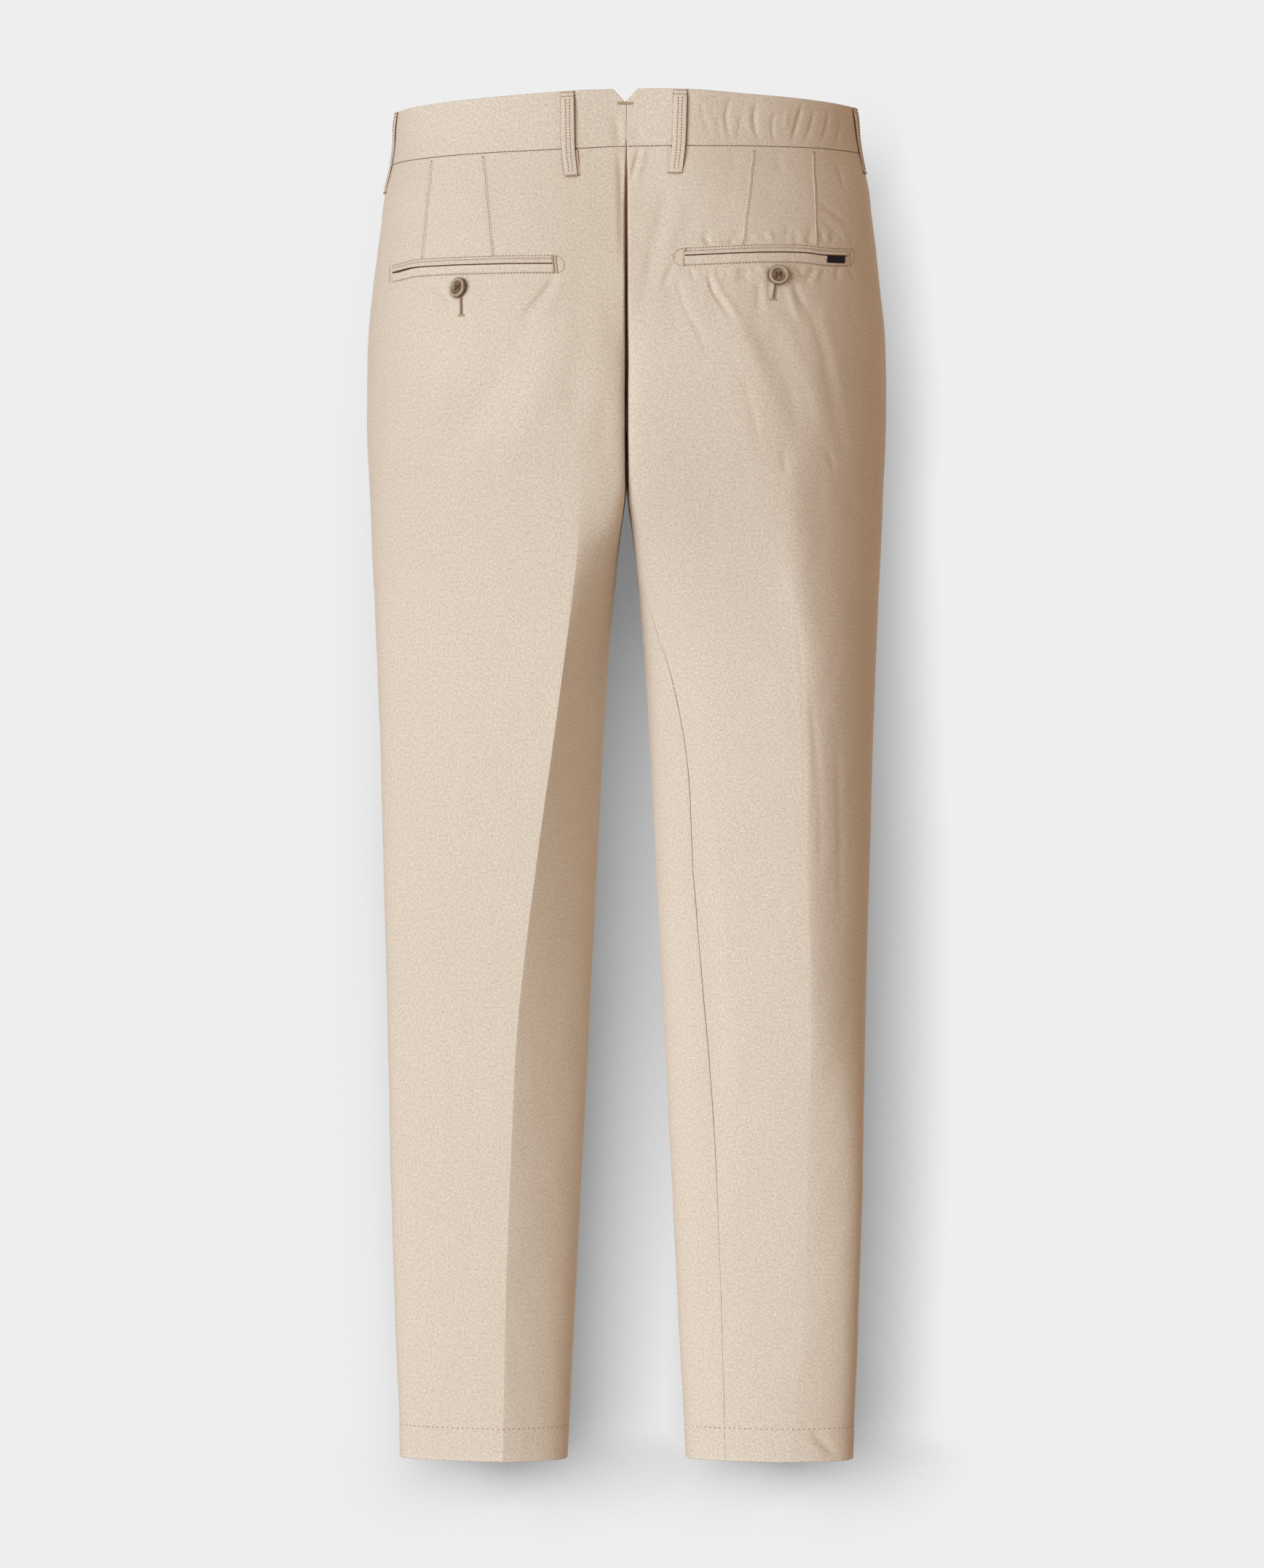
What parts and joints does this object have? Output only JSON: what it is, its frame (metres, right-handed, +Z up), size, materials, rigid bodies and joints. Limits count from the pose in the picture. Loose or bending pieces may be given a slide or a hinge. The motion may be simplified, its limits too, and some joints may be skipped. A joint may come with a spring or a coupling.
{
  "type": "chino trousers in their worn shape",
  "caption": "Hollow cotton twill trousers, filled out as when worn, with creased straight legs, jetted back pockets, belt loops and a buttoned waistband.",
  "frame": {"origin": "middle of the waist opening, about half way up the waistband, where the wearer's waist holds the trousers", "axes": "+Z up, from the hems to the waist; +Y to the wearer's front; +X to the wearer's right"},
  "size_m": [0.4088, 0.251, 1.0701],
  "materials": {
    "cotton_twill": "matt cotton twill with fine diagonal lines, washed",
    "horn_button": "mottled brown horn-like resin, satin",
    "label_tape": "dark woven tape, matt"
  },
  "bodies": {
    "root": {"back_button_left": "horn_button", "back_button_right": "horn_button", "back_left": "cotton_twill", "back_pocket_welt_lower_left": "cotton_twill", "back_pocket_welt_lower_right": "cotton_twill", "back_pocket_welt_upper_left": "cotton_twill", "back_pocket_welt_upper_right": "cotton_twill", "back_right": "cotton_twill", "belt_loop_back_left": "cotton_twill", "belt_loop_back_right": "cotton_twill", "belt_loop_front_left": "cotton_twill", "belt_loop_front_right": "cotton_twill", "belt_loop_side_left": "cotton_twill", "belt_loop_side_right": "cotton_twill", "fly_flap": "cotton_twill", "front_left": "cotton_twill", "front_pocket_facing_left": "cotton_twill", "front_pocket_facing_right": "cotton_twill", "front_right": "cotton_twill", "pocket_label": "label_tape", "waist_button": "horn_button", "waistband_left": "cotton_twill", "waistband_right": "cotton_twill"}
  },
  "joints": []
}
